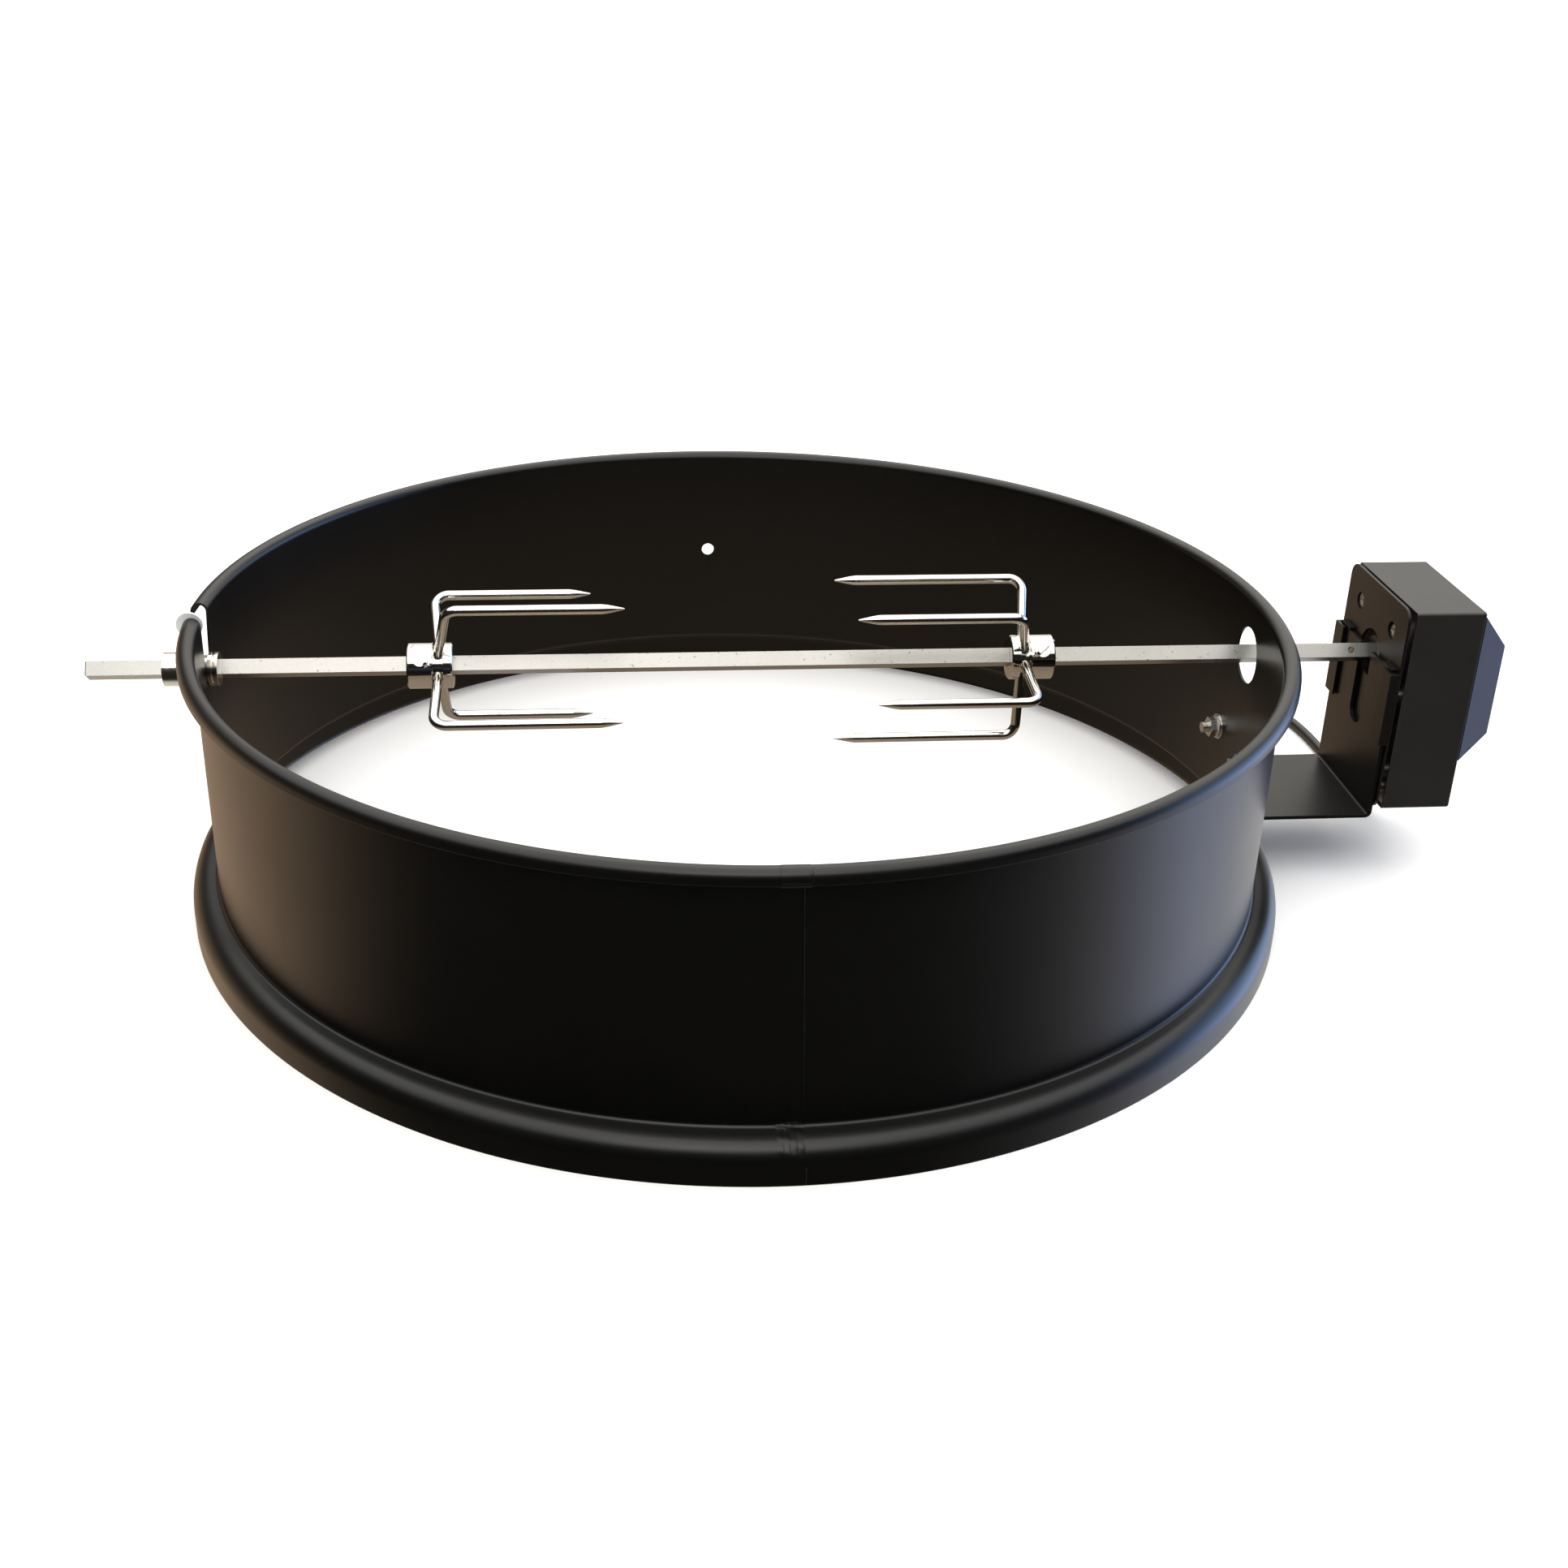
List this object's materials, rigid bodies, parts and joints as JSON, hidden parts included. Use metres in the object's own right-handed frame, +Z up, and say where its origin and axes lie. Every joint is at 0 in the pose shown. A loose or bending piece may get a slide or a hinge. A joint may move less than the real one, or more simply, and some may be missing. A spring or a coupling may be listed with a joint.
{
  "type": "rotisserie spit roaster",
  "caption": "Steel rotisserie ring for a round charcoal kettle, with a motor-driven square spit and sliding forks.",
  "frame": {"origin": "centre of the ring at the bottom edge of its skirt, where it drops over the kettle's rim", "axes": "+Z up along the ring's axis, +X along the spit towards the motor, -Y the front"},
  "size_m": [0.7414, 0.745, 0.1586],
  "materials": {
    "ring_coat": "satin black powder coat",
    "bracket_coat": "satin black powder coat",
    "housing_coat": "satin black powder coat",
    "cover_plastic": "smooth dark heat-proof plastic",
    "chrome": "bright chrome plate",
    "spit_plate": "dull plated square bar",
    "nickel": "bright nickel plate",
    "zinc": "zinc plate",
    "cap_silicone": "pale silicone",
    "gear_nylon": "natural nylon",
    "bush_bronze": "sintered bronze",
    "steel": "plain steel",
    "copper": "enamelled copper winding",
    "magnet": "ferrite",
    "switch_plastic": "black nylon",
    "cord_pvc": "black PVC sheath",
    "terminal": "white nylon",
    "brass": "bright brass"
  },
  "bodies": {
    "ring": {"ring_shell": "ring_coat", "rim_end_cap": "cap_silicone", "motor_bracket": "bracket_coat", "bracket_bolts": "zinc", "bracket_washers": "zinc", "bracket_nuts": "zinc", "motor_mount_plate": "bracket_coat", "mount_spacers": "steel", "motor_housing": "housing_coat", "outer_cover": "cover_plastic", "gearbox_cover": "steel", "cover_screws": "zinc", "case_screws": "zinc", "gearbox_posts": "steel", "gearbox_rear_plate": "steel", "output_bush": "bush_bronze", "gear_pins": "steel", "motor_can": "steel", "stator_coil": "copper", "can_screws": "zinc", "switch_body": "switch_plastic", "terminal_block": "terminal", "cord_relief": "cord_pvc", "power_cord": "cord_pvc", "cord_coil": "cord_pvc", "cord_tie": "cord_pvc", "plug_tail": "cord_pvc", "plug_body": "cord_pvc", "plug_pins": "brass"},
    "spit": {"spit_rod": "spit_plate", "spit_bushing": "nickel", "bushing_grub_screw": "zinc"},
    "left_fork": {"left_fork_hub": "chrome", "left_fork_tines": "chrome"},
    "right_fork": {"right_fork_hub": "chrome", "right_fork_tines": "chrome"},
    "left_thumb": {"left_thumb_screw": "zinc"},
    "right_thumb": {"right_thumb_screw": "zinc"},
    "output": {"output_gear": "gear_nylon"},
    "second": {"second_gear": "gear_nylon"},
    "first": {"first_gear": "gear_nylon"},
    "rotor": {"rotor_magnet": "magnet", "rotor_pinion": "steel"},
    "rocker": {"switch_rocker": "switch_plastic"}
  },
  "joints": [
    {"name": "spit_spin", "type": "hinge", "parent": "ring", "child": "spit", "pos_m": [0, 0, 0.117], "axis": [1, 0, 0], "continuous": true},
    {"name": "left_fork_slide", "type": "slide", "parent": "spit", "child": "left_fork", "axis": [1, 0, 0], "range_m": [-0.09, 0.1]},
    {"name": "right_fork_slide", "type": "slide", "parent": "spit", "child": "right_fork", "axis": [1, 0, 0], "range_m": [-0.1, 0.095]},
    {"name": "left_thumb_turn", "type": "hinge", "parent": "left_fork", "child": "left_thumb", "pos_m": [-0.1672, 0, 0.117], "axis": [0, -0.7902, 0.6129], "range_deg": [0, 720]},
    {"name": "right_thumb_turn", "type": "hinge", "parent": "right_fork", "child": "right_thumb", "pos_m": [0.1596, 0, 0.117], "axis": [0, -0.7902, 0.6129], "range_deg": [0, 720]},
    {"name": "output_spin", "type": "hinge", "parent": "ring", "child": "output", "pos_m": [0.36, 0, 0.117], "axis": [1, 0, 0], "continuous": true},
    {"name": "second_spin", "type": "hinge", "parent": "ring", "child": "second", "pos_m": [0.36, -0.018, 0.093], "axis": [1, 0, 0], "continuous": true},
    {"name": "first_spin", "type": "hinge", "parent": "ring", "child": "first", "pos_m": [0.364, -0.0012, 0.0804], "axis": [1, 0, 0], "continuous": true},
    {"name": "rotor_spin", "type": "hinge", "parent": "ring", "child": "rotor", "pos_m": [0.375, -0.0012, 0.0624], "axis": [1, 0, 0], "continuous": true},
    {"name": "switch_rock", "type": "hinge", "parent": "ring", "child": "rocker", "pos_m": [0.3794, 0.0418, 0.112], "axis": [1, 0, 0], "range_deg": [-24, 0]}
  ],
  "couplings": [
    {"joint": "output_spin", "follows": "spit_spin", "ratio": 1},
    {"joint": "second_spin", "follows": "spit_spin", "ratio": -4},
    {"joint": "first_spin", "follows": "spit_spin", "ratio": 16},
    {"joint": "rotor_spin", "follows": "spit_spin", "ratio": -64}
  ]
}
